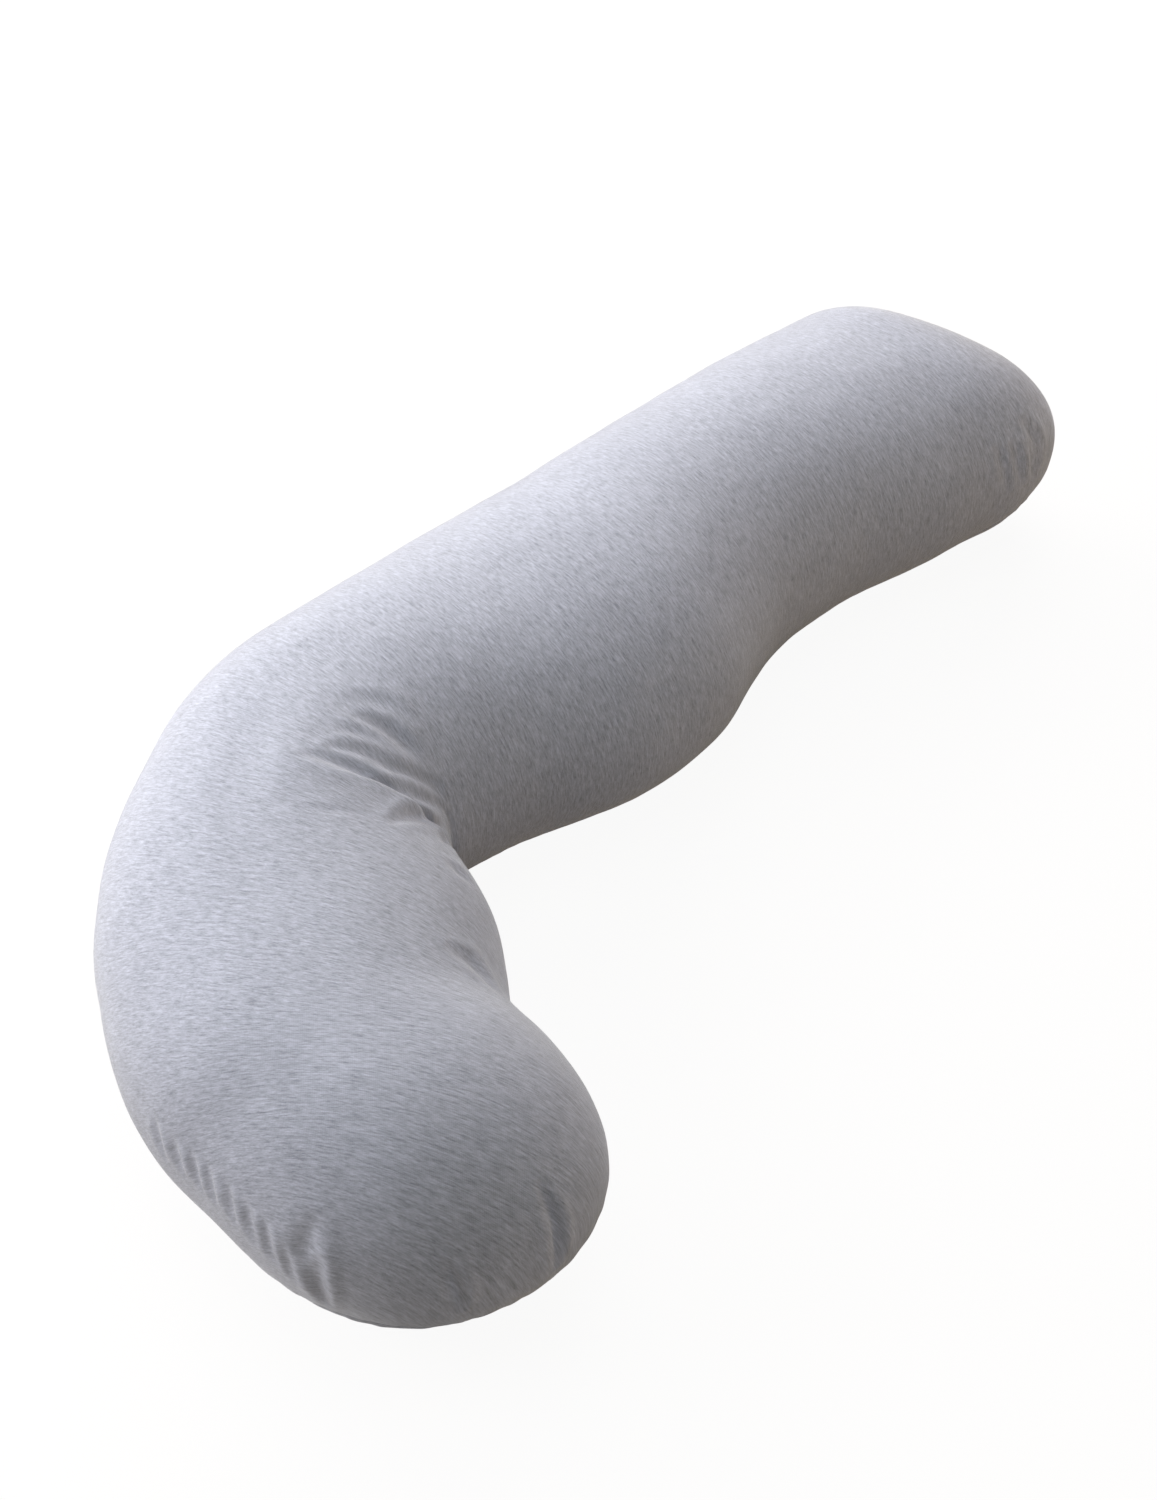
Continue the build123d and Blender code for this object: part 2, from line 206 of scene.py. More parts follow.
WALE_PITCH, COURSE_PITCH = 0.0012, 0.0009
KNIT_DEPTH = 0.00025
KNIT_TONES = ((0.30, (0.184, 0.193, 0.225)), (0.46, (0.368, 0.381, 0.435)), (0.62, (0.552, 0.569, 0.645)))

# ---- Camera, light and floor ----

CAMERA_AZIMUTH, CAMERA_ELEVATION, CAMERA_DISTANCE = 226.28, 46.23, 2.0028
CAMERA_TARGET = (-0.0483, 0.0444, 0.1)
CAMERA_LENS = 52.37
LIGHT_DISTANCE = 2.6
# Name, azimuth and elevation in degrees, width in metres, power in watts, colour
LIGHTS = [
    ("key_back_left", 140, 25, 1.6, 46.5, (0.92, 0.93, 1.0)),
    ("key_back", 90, 25, 1.6, 53.5, (1.0, 0.99, 0.97)),
    ("rim_back_right", 40, 40, 1.6, 29.6, (0.95, 0.93, 1.0)),
    ("top", 0, 90, 1.6, 15.0, (0.78, 0.87, 1.0)),
    ("bounce_right", -45, 12, 1.6, 7.8, (1.0, 0.60, 0.20)),
    ("front_fill", -90, 25, 1.6, 5.5, (0.65, 0.80, 1.0)),
]
WORLD_COLOUR, WORLD_STRENGTH = (1.0, 0.89, 0.66), 0.191
BACKDROP = (1.0, 1.0, 1.0)
FLOOR_COLOUR = (0.46, 0.43, 0.41)
FLOOR_SHADE = 0.16  # share of the real light on the floor that the camera sees
SHADE_NEAR, SHADE_FAR = 1.0, 3.0  # distances over which that share fades out
FLOOR_GLOW = 1.11
FLOOR_RADIUS, FLOOR_HEIGHT = 30.0, -0.0006

# ---- Cloth simulation ----

SIM_RING_STEP = 2
SIM_COLUMNS = {"top": 62, "bottom": 46}
SIM_FRAMES, BEND_FRAMES = 14, 9
SIM_CAP = 0.007  # no move gets larger
SIM_BLUR = 24  # passes that find the broad sag, which is taken out again
SLACK_TURN = math.radians(60)
# Distances over which the cover comes to be held, before, after and outside the elbow, and the heights
# over which it comes free
HELD_BEFORE, HELD_AFTER, HELD_OUTSIDE = (0.10, 0.18), (0.12, 0.20), (0.17, 0.25)
FREE_ABOVE = (0.03, 0.08)
CLOTH_MASS, CLOTH_STIFFNESS, CLOTH_BENDING = 0.01, 15, 0.05
CLOTH_PRESSURE, CLOTH_DAMPING = 60, 5
CLOTH_QUALITY = 6


def smooth_step(value, low, high):
    t = np.clip((value - low) / (high - low), 0, 1)
    return t * t * (3 - 2 * t)


def bump(distance, width):
    return np.exp(-((distance / width) ** 2))


def unit(vectors):
    return vectors / np.maximum(np.linalg.norm(vectors, axis=-1, keepdims=True), 1e-9)


def run_along(line):
    """Distance from a line's start to each of its points."""
    return np.concatenate([[0], np.cumsum(np.linalg.norm(np.diff(line, axis=0), axis=1))])


def read_line(where, run, values):
    """Vectors read between the points of a line, at distances along it."""
    return np.stack([np.interp(where, run, values[:, axis]) for axis in range(3)], -1)


def along_stations(column, place):
    """Smooth curve through one column of STATIONS, read at each place along the tube."""
    knots, values = STATIONS[:, 0] * MM, STATIONS[:, column]
    slopes = np.gradient(values, knots)
    left = np.clip(np.searchsorted(knots, place) - 1, 0, len(knots) - 2)
    gap = knots[left + 1] - knots[left]
    t = np.clip((place - knots[left]) / gap, 0, 1)
    start = (2 * t**3 - 3 * t**2 + 1) * values[left] + (t**3 - 2 * t**2 + t) * gap * slopes[left]
    end = (3 * t**2 - 2 * t**3) * values[left + 1] + (t**3 - t**2) * gap * slopes[left + 1]
    return start + end


def ring_places():
    """Places of the rings along the whole surface, rounded ends included."""
    middle = np.arange(LONG_SHOULDER, FINE_START, RING_SPACING)
    fine = np.arange(FINE_START, SHORT_SHOULDER, FINE_RING_SPACING)
    long_turn = np.sin(np.linspace(math.pi / 2, 0, round(LONG_END_ARC / RING_SPACING), endpoint=False))
    short_turn = np.sin(np.linspace(0, math.pi / 2, round(SHORT_END_ARC / FINE_RING_SPACING)))
    long_end = LONG_SHOULDER + (LONG_TIP - LONG_SHOULDER) * long_turn
    short_end = SHORT_SHOULDER + (SHORT_TIP - SHORT_SHOULDER) * short_turn
    return np.concatenate([long_end, middle, fine, short_end])


def into_ends(place):
    """How far each place is into the two rounded ends, as a share of their length."""
    into_long = (LONG_SHOULDER - place) / (LONG_SHOULDER - LONG_TIP)
    into_short = (place - SHORT_SHOULDER) / (SHORT_TIP - SHORT_SHOULDER)
    return np.clip(into_long, 0, 1), np.clip(into_short, 0, 1)


def plan_frame(place, turn=ELBOW_TURN):
    """Where each section plane stands in plan, from the elbow's centre, and its outward direction."""
    radius = ELBOW_RUN / turn
    angle = np.clip(place, 0, ELBOW_RUN) / radius
    back = np.stack([np.cos(angle), np.sin(angle)], -1)
    outward = np.stack([-np.sin(angle), np.cos(angle)], -1)
    straight = np.where(place < 0, -place, np.minimum(ELBOW_RUN - place, 0))
    return back * straight[..., None], outward


def smooth_floor(height):
    """Height kept above the floor, with a soft edge round the flat base."""
    share = np.clip(0.5 + 0.5 * height / BASE_ROUNDING, 0, 1)
    return height * share + 0.5 * BASE_ROUNDING * share * (1 - share)


def rounded_square(value):
    """A cosine or sine of the section's angle, bent so that the section is a little squarer."""
    return np.sign(value) * np.abs(value) ** (2 / SECTION_ROUNDNESS)


class Tube:
    """The pillow's surface, from the long arm's tip to the short arm's, with any turn of the elbow."""

    def __init__(self, turn=ELBOW_TURN):
        self.turn = turn

    def lowered(self, place, angle):
        """Places and angles with the pole of each rounded end moved down to the seam, and how much
        smaller the section is there. The surface stays the same, and only its grid moves."""
        shrink = np.ones(np.shape(place))
        for into, shoulder, tip, drop in zip(into_ends(place), SHOULDERS, TIPS, POLE_DROPS):
            inside = into > 0
            out, up = np.sqrt(1 - into**2) * np.cos(angle), np.sqrt(1 - into**2) * np.sin(angle)
            turned = drop * into**2
            along = np.clip(into * np.cos(turned) + up * np.sin(turned), 0, 1)
            up = up * np.cos(turned) - into * np.sin(turned)
            place = np.where(inside, shoulder + (tip - shoulder) * along, place)
            angle = np.where(inside, np.arctan2(up, out), angle)
            shrink = np.where(inside, (1 - along**END_ROUNDNESS) ** (1 / END_ROUNDNESS), shrink)
        return place, angle, shrink

    def surface(self, place, angle):
        """Points of the surface: angle 0 faces outward and a right angle faces up."""
        place, angle, shrink = self.lowered(place, angle)
        outer, inner = along_stations(1, place) * MM, along_stations(2, place) * MM
        top = along_stations(3, place) * MM
        axis = top * BASE_SINE / (1 + BASE_SINE)
        # A slacker elbow moves the spine away from its centre, so the tube keeps its width there
        middle = (outer + inner) / 2 - SPINE_RADIUS + ELBOW_RUN / self.turn
        across = middle + (outer - inner) / 2 * shrink * rounded_square(np.cos(angle))
        height = axis + (top - axis) * shrink * rounded_square(np.sin(angle))
        origin, outward = plan_frame(place, self.turn)
        near, far = into_ends(place)
        lean = (across - middle) * (TIP_LEANS[0] * near**2 - TIP_LEANS[1] * far**2)
        back = np.stack([outward[..., 1], -outward[..., 0]], -1)
        plan = ELBOW + origin + across[..., None] * outward + lean[..., None] * back
        return np.concatenate([plan, smooth_floor(height)[..., None]], -1)

    def panel(self, side, places, columns, outer_gap=0.0, inner_gap=0.0):
        """Points of a panel, ring by ring from the outer to the inner seam, and their arc lengths,
        which are measured from the middle of the section's crown or base."""
        level = 1 - np.maximum(*into_ends(places)) ** 2
        start = np.radians(along_stations(4, places)) * level
        end = math.pi - np.radians(along_stations(5, places)) * level
        quarter = math.pi / 2
        if side == "bottom":
            end, quarter = end - 2 * math.pi, -quarter
        share = np.linspace(0, 1, SECTION_SAMPLES)
        angle = start[:, None] + (end - start)[:, None] * share
        fine = self.surface(np.repeat(places[:, None], SECTION_SAMPLES, axis=1), angle)
        steps = np.linalg.norm(np.diff(fine, axis=1), axis=2)
        length = np.concatenate([np.zeros((len(places), 1)), np.cumsum(steps, axis=1)], axis=1)
        grid = np.zeros((len(places), len(columns), 3))
        arc = np.zeros(grid.shape[:2])
        outer_gap = np.broadcast_to(outer_gap, len(places))
        for ring, run in enumerate(length):
            first = min(outer_gap[ring], GAP_LIMIT * run[-1])
            last = run[-1] - min(inner_gap, GAP_LIMIT * run[-1])
            wanted = first + (last - first) * columns
            grid[ring] = read_line(wanted, run, fine[ring])
            middle = (quarter - start[ring]) / (end[ring] - start[ring])
            arc[ring] = wanted - np.interp(middle, share, run)
        return grid, arc


def panel_columns(width):
    """Shares of a panel's width for its columns: close together beside the two seams."""
    edge = np.array(EDGE_STEPS) * MM / width
    middle = np.linspace(edge[-1], 1 - edge[-1], round(width * (1 - 2 * edge[-1]) / COLUMN_SPACING))
    return np.concatenate([edge[:-1], middle, 1 - edge[-2::-1]])


def grid_normals(grid, side):
    """Outward unit normals of a panel's grid."""
    normal = np.cross(np.gradient(grid, axis=0), np.gradient(grid, axis=1))
    return unit(normal if side == "top" else -normal)


def every(step, count):
    """Indices of a row of things, a step apart, and the last one."""
    return np.unique(np.append(np.arange(0, count, step), count - 1))


places = ring_places()
sim_rows = every(SIM_RING_STEP, len(places))
sim_places = places[sim_rows]

# ---- Wrinkles ----


def gather_strength(place, side):
    """How much a seam draws the cloth up: most round the two ends, some in the elbow."""
    ends = smooth_step(place, *SHORT_GATHERS) + smooth_step(-place, *LONG_GATHERS)
    elbow = bump(place - ELBOW_RUN / 2, ELBOW_GATHERS)
    least, in_elbow = SIDE_STRENGTHS[side]
    return least + END_STRENGTH * ends + in_elbow * elbow


def seam_line(panel):
    """The pillow's whole seam as one closed line: points, distance along it and gather strength."""
    points = np.concatenate([panel[:, 0], panel[::-1, -1]])
    strength = np.concatenate([gather_strength(places, "outer"), gather_strength(places[::-1], "inner")])
    return points, run_along(points), strength


def nearest_on_seam(points, seam):
    """Distance to the seam of each point, and how far along the seam its nearest place is."""
    line, run, _ = seam
    steps = np.arange(0, run[-1], SEAM_SAMPLE)
    tree = kdtree.KDTree(len(steps))
    for index, sample in enumerate(read_line(steps, run, line)):
        tree.insert(sample, index)
    tree.balance()
    index, distance = zip(*(tree.find(point)[1:] for point in points))
    return np.array(distance), steps[list(index)]


def seam_relief(distance, along, seam, seed):
    """Height of the gathers that a seam makes, and of the valley that it lies in."""
    rng = np.random.default_rng(seed)
    _, run, strength = seam
    relief = -SEAM_DEPTH * bump(distance, SEAM_WIDTH) - PULL_DEPTH * np.exp(-distance / PULL_WIDTH)
    place = 0.0
    while place < run[-1]:
        force = np.interp(place, run, strength)
        height = force * rng.uniform(*GATHER_SHARES) * GATHER_HEIGHT
        width = rng.uniform(*GATHER_WIDTHS)
        reach = rng.uniform(*GATHER_REACHES) * (0.6 + 0.7 * force)
        lean = rng.uniform(-GATHER_LEAN, GATHER_LEAN)
        offset = (along - place - lean * distance) / (width * (1 + distance / GATHER_SPREAD))
        ridge, middle, spread = GATHER_RIDGES
        wave = ridge * bump(np.abs(offset) - middle, spread) - bump(offset, 1)
        relief += height * wave * np.exp(-((distance / reach) ** 1.5))
        place += rng.uniform(*GATHER_STEPS) / (0.45 + 0.6 * force)
    return relief


def fold_path(line, grid, arc):
    """Points on a panel's grid along a line of places and distances across it."""
    knots = np.linspace(0, 1, len(line))
    share = np.linspace(0, 1, FOLD_SAMPLES)
    path = []
    for place, across in zip(*(np.interp(share, knots, values) for values in np.array(line).T * MM)):
        ring = np.clip(np.searchsorted(places, place), 1, len(places) - 1)
        between = (place - places[ring - 1]) / (places[ring] - places[ring - 1])
        before, after = (read_line(across, arc[row], grid[row]) for row in (ring - 1, ring))
        path.append(before * (1 - between) + after * between)
    return np.array(path)


def fold_relief(points, normals, depth, width, line):
    """Height of one fold: a crease along a line of points, with a soft ridge on each side."""
    lengths = np.linalg.norm(np.diff(line, axis=0), axis=1)
    nearest = np.full(len(points), np.inf)
    share, side = np.zeros(len(points)), np.zeros(len(points))
    start = 0.0
    for first, second, length in zip(line[:-1], line[1:], lengths):
        along = (second - first) / length
        t = np.clip((points - first) @ along, 0, length)
        offset = points - first - t[:, None] * along
        distance = np.linalg.norm(offset, axis=1)
        closer = distance < nearest
        nearest = np.where(closer, distance, nearest)
        share = np.where(closer, (start + t) / lengths.sum(), share)
        turned = np.cross(normals, along)
        side = np.where(closer, np.sign((offset * turned).sum(1)), side)
        start += length
    taper = np.sin(math.pi * (0.08 + 0.84 * share)) ** 0.8  # deepest in the middle, little at the ends
    offset = nearest * side / (width * (0.7 + 0.6 * taper))
    ridges = sum(height * bump(offset - middle, spread) for height, middle, spread in FOLD_RIDGES)
    return depth * taper * (ridges - bump(offset, 1))


def soft_lumps(points):
    """Slight unevenness of the fibre under the cover."""
    height = np.zeros(len(points))
    for index, point in enumerate(points):
        for share, scale, offset in LUMPS:
            height[index] += LUMP_HEIGHT * share * noise.noise(Vector(point) * scale + Vector(offset))
    return height


# ---- Cloth simulation ----


def closed_tube(tube):
    """A closed coarse mesh of the tube: one ring of points for each place, a point at each tip."""
    top, _ = tube.panel("top", sim_places, np.linspace(0, 1, SIM_COLUMNS["top"]))
    bottom, _ = tube.panel("bottom", sim_places, np.linspace(0, 1, SIM_COLUMNS["bottom"]))
    rings = np.concatenate([top, bottom[:, -2:0:-1]], axis=1)[1:-1]
    tips = np.array([top[0].mean(0), top[-1].mean(0)])
    return rings, tips


def closed_faces(rings, columns):
    index = np.arange(rings * columns).reshape(rings, columns)
    following = np.roll(index, -1, axis=1)
    quads = np.stack([index[:-1], index[1:], following[1:], following[:-1]], -1).reshape(-1, 4).tolist()
    first, last = rings * columns, rings * columns + 1
    fans = [[first, a, b] for a, b in zip(index[0], following[0])]
    fans += [[last, b, a] for a, b in zip(index[-1], following[-1])]
    return quads + fans


def held_weights(rings):
    """How firmly each point is held where the bend puts it. Only the elbow's top and inside are free."""
    place = sim_places[1:-1, None]
    beyond = smooth_step(-place, *HELD_BEFORE) + smooth_step(place - ELBOW_RUN, *HELD_AFTER)
    from_centre = np.hypot(*np.moveaxis(rings[..., :2] - ELBOW, -1, 0))
    outside = smooth_step(from_centre, *HELD_OUTSIDE)
    low = 1 - smooth_step(rings[..., 2], *FREE_ABOVE)
    return np.clip(np.maximum(np.maximum(beyond, outside), low), 0, 1)


def cloth_settings(obj):
    """Cloth that is filled from inside, weightless, and held by the vertex group."""
    cloth = obj.modifiers.new("cloth", "CLOTH").settings
    cloth.quality = CLOTH_QUALITY
    cloth.mass = CLOTH_MASS
    cloth.tension_stiffness = cloth.compression_stiffness = CLOTH_STIFFNESS
    cloth.shear_stiffness = CLOTH_STIFFNESS / 3
    cloth.bending_stiffness = CLOTH_BENDING
    cloth.tension_damping = cloth.compression_damping = CLOTH_DAMPING
    cloth.air_damping = 1
    cloth.vertex_group_mass = "held"
    cloth.use_pressure = True
    cloth.uniform_pressure_force = CLOTH_PRESSURE
    cloth.effector_weights.gravity = 0


def simulate_cover():
    """Where the closed cover goes when it is sewn slacker, then filled and bent: moves ring by ring."""
    bent, tips = closed_tube(Tube())
    slack, slack_tips = closed_tube(Tube(SLACK_TURN))
    mesh = bpy.data.meshes.new("simulated_cover")
    points = np.concatenate([bent.reshape(-1, 3), tips])
    start = np.concatenate([slack.reshape(-1, 3), slack_tips])
    mesh.from_pydata(start.tolist(), [], closed_faces(*bent.shape[:2]))
    obj = bpy.data.objects.new("simulated_cover", mesh)
    bpy.context.scene.collection.objects.link(obj)
    obj.shape_key_add(name="slack")
    bend = obj.shape_key_add(name="bent")
    bend.data.foreach_set("co", points.ravel())
    for frame_number, value in ((1, 0.0), (BEND_FRAMES, 1.0)):
        bend.value = value
        bend.keyframe_insert("value", frame=frame_number)
    group = obj.vertex_groups.new(name="held")
    for index, weight in enumerate(np.append(held_weights(bent), [1, 1])):
        group.add([index], float(weight), "REPLACE")
    cloth_settings(obj)
    scene = bpy.context.scene
    for frame_number in range(1, SIM_FRAMES + 1):
        scene.frame_set(frame_number)
    result = obj.evaluated_get(bpy.context.evaluated_depsgraph_get()).to_mesh()
    moved = np.empty(len(points) * 3)
    result.vertices.foreach_get("co", moved)
    moved = (moved.reshape(-1, 3) - points)[:-2]
    bpy.data.objects.remove(obj)
    scene.frame_set(1)
    return moved.reshape(bent.shape)


def blurred(field, passes):
    """A field over rings and closed columns, smoothed."""
    for _ in range(passes):
        field = (np.roll(field, 1, 1) + 2 * field + np.roll(field, -1, 1)) / 4
        padded = np.concatenate([field[:1], field, field[-1:]])
        field = (padded[:-2] + 2 * padded[1:-1] + padded[2:]) / 4
    return field


def settled_moves():
    """What the simulation adds to the coarse cover: its moves without their broad sag, capped."""
    moved = simulate_cover()
    moved -= blurred(moved, SIM_BLUR)
    size = np.linalg.norm(moved, axis=2, keepdims=True)
    moved *= SIM_CAP * np.tanh(size / SIM_CAP) / np.maximum(size, 1e-9)
    tip = np.zeros((1,) + moved.shape[1:])
    return np.concatenate([tip, moved, tip])


def resampled(field, old, new, axis):
    """A field read between its samples along one axis."""
    left = np.clip(np.searchsorted(old, new, side="right") - 1, 0, len(old) - 2)
    shape = [1, 1, 1]
    shape[axis] = len(new)
    share = ((new - old[left]) / (old[left + 1] - old[left])).reshape(shape)
    return np.take(field, left, axis) * (1 - share) + np.take(field, left + 1, axis) * share


def softened(grid, passes):
    """A grid of vectors, smoothed everywhere but at its edges."""
    for _ in range(passes):
        grid[1:-1] = (grid[:-2] + 2 * grid[1:-1] + grid[2:]) / 4
        grid[:, 1:-1] = (grid[:, :-2] + 2 * grid[:, 1:-1] + grid[:, 2:]) / 4
    return grid


def fine_field(coarse, columns, side):
    """A field of the coarse closed mesh, read at the fine grid of one panel."""
    count = SIM_COLUMNS["top"]
    if side == "top":
        part = coarse[:, :count]
    else:
        part = np.concatenate([coarse[:, :1], coarse[:, :count - 2:-1]], axis=1)
    across = resampled(part, np.linspace(0, 1, part.shape[1]), columns, 1)
    return softened(resampled(across, sim_rows, np.arange(len(places)), 0), 3)


# ---- Covers ----


def mesh_object(name, points, faces):
    mesh = bpy.data.meshes.new(name)
    mesh.from_pydata(np.asarray(points).tolist(), [], faces)
    mesh.update()
    mesh.polygons.foreach_set("use_smooth", np.ones(len(mesh.polygons), bool))
    obj = bpy.data.objects.new(name, mesh)
    bpy.context.scene.collection.objects.link(obj)
    return obj


def grid_faces(rings, columns):
    index = np.arange(rings * columns).reshape(rings, columns)
    corners = [index[:-1, :-1], index[:-1, 1:], index[1:, 1:], index[1:, :-1]]
    return np.stack(corners, -1).reshape(-1, 4).tolist()


def panel_faces(rings, columns, side):
    """Faces of a panel whose first and last rings are single points: quads, and a fan at each end."""
    index = np.arange(rings * columns).reshape(rings, columns)
    first, last = rings * columns, rings * columns + 1
    fans = [[first, b, a] for a, b in zip(index[0, :-1], index[0, 1:])]
    fans += [[last, a, b] for a, b in zip(index[-1, :-1], index[-1, 1:])]
    faces = grid_faces(rings, columns) + fans
    return [face[::-1] for face in faces] if side == "top" else faces


def panel_object(name, grid, side, fabric):
    """A panel as a mesh with its two end rings closed to points, which carries its cloth coordinates."""
    rings = grid[1:-1]
    points = np.concatenate([rings.reshape(-1, 3), [grid[0].mean(0), grid[-1].mean(0)]])
    obj = mesh_object(name, points, panel_faces(*rings.shape[:2], side))
    cloth = np.concatenate([fabric[1:-1].reshape(-1, 3), [fabric[0].mean(0), fabric[-1].mean(0)]])
    attribute = obj.data.attributes.new("fabric", "FLOAT_VECTOR", "POINT")
    attribute.data.foreach_set("vector", cloth.astype(np.float32).ravel())
    return obj


def thicken(obj, thickness, offset):
    solid = obj.modifiers.new("thickness", "SOLIDIFY")
    solid.thickness, solid.offset = thickness, offset


def pattern_place(places, arc, layer):
    """Where each point of a panel lay in the flat cloth before it was sewn: a slacker J, in metres."""
    origin, outward = plan_frame(places, PATTERN_TURN)
    plan = origin[:, None] + (ELBOW_RUN / PATTERN_TURN - arc)[..., None] * outward[:, None]
    return np.concatenate([plan, np.full(arc.shape + (1,), layer)], -1)


def lips(grid, normals, edge, beside):
    """The turned-in edge along one seam of a panel, column by column from the seam."""
    inward = unit(grid[:, beside] - grid[:, edge])
    return [(grid[:, edge] + (LIP_LEAN * inward - normals[:, edge]) * step)[:, None] for step in LIP_STEPS]


def with_lips(grid, normals, fabric):
    """The grid and its cloth coordinates with a turned-in edge added along both seams."""
    outer, inner = lips(grid, normals, 0, 1)[::-1], lips(grid, normals, -1, -2)
    cloth = [fabric[:, :1]] * len(outer) + [fabric] + [fabric[:, -1:]] * len(inner)
    return np.concatenate(outer + [grid] + inner, axis=1), np.concatenate(cloth, axis=1)


def zip_window(place, soft=ZIP_SOFT, beyond=0.0):
    """1 along the zip and 0 elsewhere, with soft ends that lie a distance beyond its own."""
    x = ELBOW[0] - place
    low, high = ZIP_LOW.x - beyond, ZIP_HIGH.x + beyond
    return smooth_step(x, low - soft, low + soft) * (1 - smooth_step(x, high - soft, high + soft))


def cover_panel(side, moves):
    """A cover panel with all its wrinkles: its grid, normals and cloth coordinates."""
    columns = panel_columns(PANEL_WIDTHS[side])
    tube = Tube()
    outer_gap = SEAM_GAP + (ZIP_GAP - SEAM_GAP) * zip_window(places)
    grid, arc = tube.panel(side, places, columns, outer_gap, SEAM_GAP)
    seam = seam_line(tube.panel(side, places, np.array([0.0, 1.0]))[0])
    points, normals = grid.reshape(-1, 3), grid_normals(grid, side).reshape(-1, 3)
    distance, along = nearest_on_seam(points, seam)
    beside = zip_window(np.repeat(places, grid.shape[1]), soft=0.010, beyond=0.012)
    beside = beside * (points[:, 1] > ZIP_LOW.y - ZIP_BAND)
    clear = 1 - beside * (1 - smooth_step(distance, *ZIP_CALM))
    relief = seam_relief(distance, along, seam, SEEDS[side]) * clear
    relief += beside * ZIP_SWELL * bump(distance, SWELL_WIDTH)
    lumps = soft_lumps(points)
    if side == "top":
        for depth, half_width, line in FOLDS:
            path = fold_path(line, grid, arc)
            lumps += fold_relief(points, normals, depth * MM, half_width * MM, path)
    relief += lumps * clear * smooth_step(distance, 0.0, FULL_RELIEF)
    relief *= smooth_step(points[:, 2], 0.0, BASE_CALM)
    points = points + normals * relief[:, None]
    if moves is not None:
        points += fine_field(moves, columns, side).reshape(-1, 3) * clear[:, None]
    points[:, 2] = np.maximum(points[:, 2], LOWEST)
    grid = points.reshape(grid.shape)
    return grid, grid_normals(grid, side), pattern_place(places, arc, PATTERN_LEVELS[side])


def build_cover(side, grid, normals, fabric):
    lipped, cloth = with_lips(grid, normals, fabric)
    obj = panel_object(f"cover_{side}_panel", lipped, side, cloth)
    thicken(obj, CLOTH_THICKNESS, -1)
    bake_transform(obj)
    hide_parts(f"cover_{side}_panel_long_arm", f"cover_{side}_panel_short_arm")
    return obj


# ---- Casing and filling inside the cover ----


def inner_grid(panels, side, depth):
    """The cover's own grid, coarser and smoother and sunk by a depth, and the places of its rings."""
    grid = panels[side][0]
    rings, columns = (every(INNER_STEP, count) for count in grid.shape[:2])
    grid = softened(grid[np.ix_(rings, columns)], 2)
    normals = grid_normals(grid, side)
    normals[0], normals[-1] = normals[1].mean(0), normals[-2].mean(0)
    return grid - unit(normals) * depth, places[rings]


def build_casing(panels, side):
    """Half of the woven casing round the filling."""
    grid, ring_place = inner_grid(panels, side, CASING_DEPTH)
    arc = np.linspace(CASING_HALF_WIDTH, -CASING_HALF_WIDTH, grid.shape[1]) * np.ones((len(grid), 1))
    cloth = pattern_place(ring_place, arc, PATTERN_LEVELS["casing"])
    obj = panel_object(f"inner_casing_{side}", grid, side, cloth)
    thicken(obj, CLOTH_THICKNESS, -1)
    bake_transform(obj)
    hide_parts(f"inner_casing_{side}_long_arm", f"inner_casing_{side}_short_arm")
    return obj


def build_filling(panels):
    """The loose fibre inside the casing, as one clumpy body."""
    top, bottom = (inner_grid(panels, side, FILL_DEPTH)[0] for side in SIDES)
    rings = np.concatenate([top, bottom[:, -2:0:-1]], axis=1)
    inner = rings[1:-1].reshape(-1, 3)
    shake = np.array([
        [noise.noise(Vector(point) * CLUMPS_PER_METRE + Vector(offset)) for offset in FIBRE_OFFSETS]
        for point in inner
    ])
    points = np.concatenate([inner + shake * FIBRE_CLUMP, [rings[0].mean(0), rings[-1].mean(0)]])
    fill = mesh_object("fibre_fill", points, closed_faces(len(rings) - 2, rings.shape[1]))
    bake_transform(fill)
    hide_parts("fibre_fill_long_arm", "fibre_fill_short_arm")
    return fill


# ---- Zip, topstitching and label ----


def swept(name, paths, radius, sides, reference):
    """Round threads along many paths, each closed at both ends. reference is never along a path."""
    points, faces = [], []
    turn = np.linspace(0, 2 * math.pi, sides, endpoint=False)
    for path in paths:
        tangent = unit(np.gradient(path, axis=0))
        first = unit(np.cross(tangent, reference))
        second = np.cross(tangent, first)
        circle = first[:, None] * np.cos(turn)[:, None] + second[:, None] * np.sin(turn)[:, None]
        size = np.full(len(path), radius)
        size[[0, -1]] *= THREAD_TAPER
        base = len(points)
        points.extend((path[:, None] + circle * size[:, None, None]).reshape(-1, 3))
        for ring in range(len(path) - 1):
            for k in range(sides):
                low, high = base + ring * sides, base + (ring + 1) * sides
                faces.append([low + k, low + (k + 1) % sides, high + (k + 1) % sides, high + k])
        faces.append([base + k for k in reversed(range(sides))])
        faces.append([base + (len(path) - 1) * sides + k for k in range(sides)])
    return mesh_object(name, points, faces)


